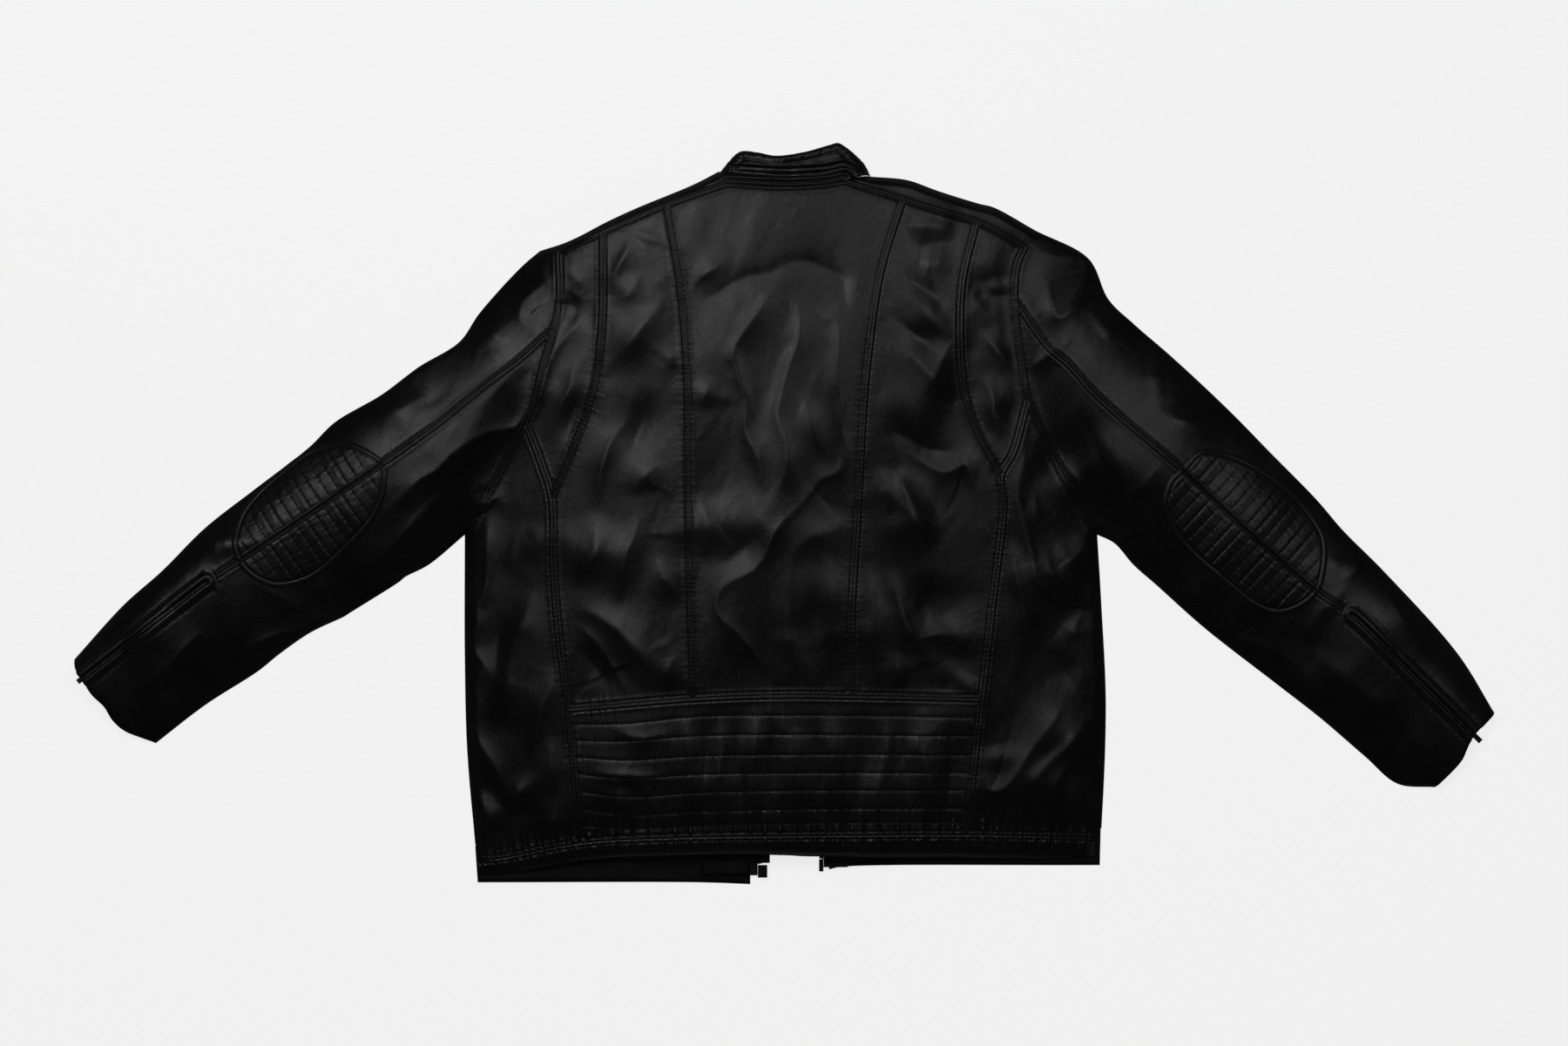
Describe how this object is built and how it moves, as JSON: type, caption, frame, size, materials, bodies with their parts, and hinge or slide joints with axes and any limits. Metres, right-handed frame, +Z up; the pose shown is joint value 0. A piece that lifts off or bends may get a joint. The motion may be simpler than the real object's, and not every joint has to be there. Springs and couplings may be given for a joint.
{
  "type": "leather riding jacket",
  "caption": "Black leather riding jacket laid face down: stand collar, quilted shoulder and elbow panels, quilted lower back, elastic hem, zipped cuffs and pockets, open front zip.",
  "frame": {"origin": "middle of the bounding box, on the surface the jacket lies on", "axes": "+Z up, away from the surface, which is the outward side of the jacket's back; +X toward the wearer's right sleeve; +Y toward the collar"},
  "size_m": [1.3945, 0.7263, 0.044],
  "materials": {
    "leather_black": "soft semi-gloss full-grain black",
    "lining_fabric": "smooth black polyester",
    "elastic_band": "ribbed elastic",
    "zip_tape": "matt woven",
    "zip_chain": "coil on woven tape",
    "zip_metal": "dark nickel"
  },
  "bodies": {
    "torso": {"back_centre_panel": "leather_black", "back_hem_band": "leather_black", "back_left_armhole_panel": "leather_black", "back_left_panel": "leather_black", "back_lining": "lining_fabric", "back_right_armhole_panel": "leather_black", "back_right_panel": "leather_black", "collar_band": "leather_black", "collar_snap_socket": "zip_metal", "collar_snap_stud": "zip_metal", "front_facings": "leather_black", "front_hem_bands": "leather_black", "front_left_panel": "leather_black", "front_linings": "lining_fabric", "front_right_panel": "leather_black", "hanger_loop": "leather_black", "hem_elastic": "elastic_band", "left_shoulder_yoke": "leather_black", "left_side_panel": "leather_black", "main_zip_fittings": "zip_metal", "main_zip_tapes": "zip_tape", "main_zip_teeth": "zip_metal", "pocket_bags": "lining_fabric", "pocket_zip_chains": "zip_chain", "right_shoulder_yoke": "leather_black", "right_side_panel": "leather_black", "waist_quilted_panel": "leather_black"},
    "left_forearm": {"left_cuff_zip_chain": "zip_chain", "left_forearm_front_panel": "leather_black", "left_forearm_inner_panel": "leather_black", "left_forearm_outer_panel": "leather_black"},
    "left_cuff_zip_puller_body": {"left_cuff_zip_puller": "zip_metal"},
    "left_cuff_zip_slider_body": {"left_cuff_zip_slider": "zip_metal"},
    "left_upper_arm": {"left_elbow_patch": "leather_black", "left_elbow_zone": "leather_black", "left_sleeve_crown": "leather_black", "left_sleeve_front_panel": "leather_black", "left_sleeve_inner_panel": "leather_black", "left_sleeve_lining": "lining_fabric", "left_sleeve_outer_panel": "leather_black"},
    "left_pocket_puller_body": {"left_pocket_puller": "zip_metal"},
    "left_pocket_slider_body": {"left_pocket_slider": "zip_metal"},
    "main_zip_puller_body": {"main_zip_puller": "zip_metal"},
    "main_zip_slider_body": {"main_zip_slider": "zip_metal"},
    "right_forearm": {"right_cuff_zip_chain": "zip_chain", "right_forearm_front_panel": "leather_black", "right_forearm_inner_panel": "leather_black", "right_forearm_outer_panel": "leather_black"},
    "right_cuff_zip_puller_body": {"right_cuff_zip_puller": "zip_metal"},
    "right_cuff_zip_slider_body": {"right_cuff_zip_slider": "zip_metal"},
    "right_upper_arm": {"right_elbow_patch": "leather_black", "right_elbow_zone": "leather_black", "right_sleeve_crown": "leather_black", "right_sleeve_front_panel": "leather_black", "right_sleeve_inner_panel": "leather_black", "right_sleeve_lining": "lining_fabric", "right_sleeve_outer_panel": "leather_black"},
    "right_pocket_puller_body": {"right_pocket_puller": "zip_metal"},
    "right_pocket_slider_body": {"right_pocket_slider": "zip_metal"}
  },
  "joints": [
    {"name": "left_shoulder", "type": "hinge", "parent": "torso", "child": "left_upper_arm", "pos_m": [-0.289, 0.0604, 0.012], "axis": [0, 0, 1], "range_deg": [-20, 15], "deforming": ["left_sleeve_crown"]},
    {"name": "left_elbow", "type": "hinge", "parent": "left_upper_arm", "child": "left_forearm", "pos_m": [-0.4488, -0.0187, 0.012], "axis": [0, 0, 1], "range_deg": [-10, 25], "deforming": ["left_elbow_zone", "left_elbow_patch"]},
    {"name": "right_shoulder", "type": "hinge", "parent": "torso", "child": "right_upper_arm", "pos_m": [0.2873, 0.0561, 0.012], "axis": [0, 0, -1], "range_deg": [-20, 15], "deforming": ["right_sleeve_crown"]},
    {"name": "right_elbow", "type": "hinge", "parent": "right_upper_arm", "child": "right_forearm", "pos_m": [0.4454, -0.0263, 0.012], "axis": [0, 0, -1], "range_deg": [-10, 25], "deforming": ["right_elbow_zone", "right_elbow_patch"]},
    {"name": "left_cuff_zip_slide", "type": "slide", "parent": "left_forearm", "child": "left_cuff_zip_slider_body", "axis": [0.7894, 0.6139, 0], "range_m": [0, 0.105]},
    {"name": "left_cuff_puller_hinge", "type": "hinge", "parent": "left_cuff_zip_slider_body", "child": "left_cuff_zip_puller_body", "pos_m": [-0.67194, -0.14984, 0.0217], "axis": [-0.6139, 0.7894, 0], "range_deg": [0, 150]},
    {"name": "right_cuff_zip_slide", "type": "slide", "parent": "right_forearm", "child": "right_cuff_zip_slider_body", "axis": [-0.713, 0.7012, 0], "range_m": [0, 0.12]},
    {"name": "right_cuff_puller_hinge", "type": "hinge", "parent": "right_cuff_zip_slider_body", "child": "right_cuff_zip_puller_body", "pos_m": [0.66421, -0.20599, 0.0217], "axis": [-0.7012, -0.713, 0], "range_deg": [0, 150]},
    {"name": "main_zip_slide", "type": "slide", "parent": "torso", "child": "main_zip_slider_body", "axis": [0, 1, 0], "range_m": [0, 0.56]},
    {"name": "main_puller_hinge", "type": "hinge", "parent": "main_zip_slider_body", "child": "main_zip_puller_body", "pos_m": [-0.0199, -0.3273, 0.0012], "axis": [-1, 0, 0], "range_deg": [0, 150]},
    {"name": "left_pocket_slide", "type": "slide", "parent": "torso", "child": "left_pocket_slider_body", "axis": [-0.3401, -0.9404, 0], "range_m": [0, 0.1]},
    {"name": "left_pocket_puller_hinge", "type": "hinge", "parent": "left_pocket_slider_body", "child": "left_pocket_puller_body", "pos_m": [-0.15319, -0.088, 0.00135], "axis": [0.9404, -0.3401, 0], "range_deg": [0, 150]},
    {"name": "right_pocket_slide", "type": "slide", "parent": "torso", "child": "right_pocket_slider_body", "axis": [0.3401, -0.9404, 0], "range_m": [0, 0.1]},
    {"name": "right_pocket_puller_hinge", "type": "hinge", "parent": "right_pocket_slider_body", "child": "right_pocket_puller_body", "pos_m": [0.16119, -0.088, 0.00135], "axis": [0.9404, 0.3401, 0], "range_deg": [0, 150]}
  ]
}
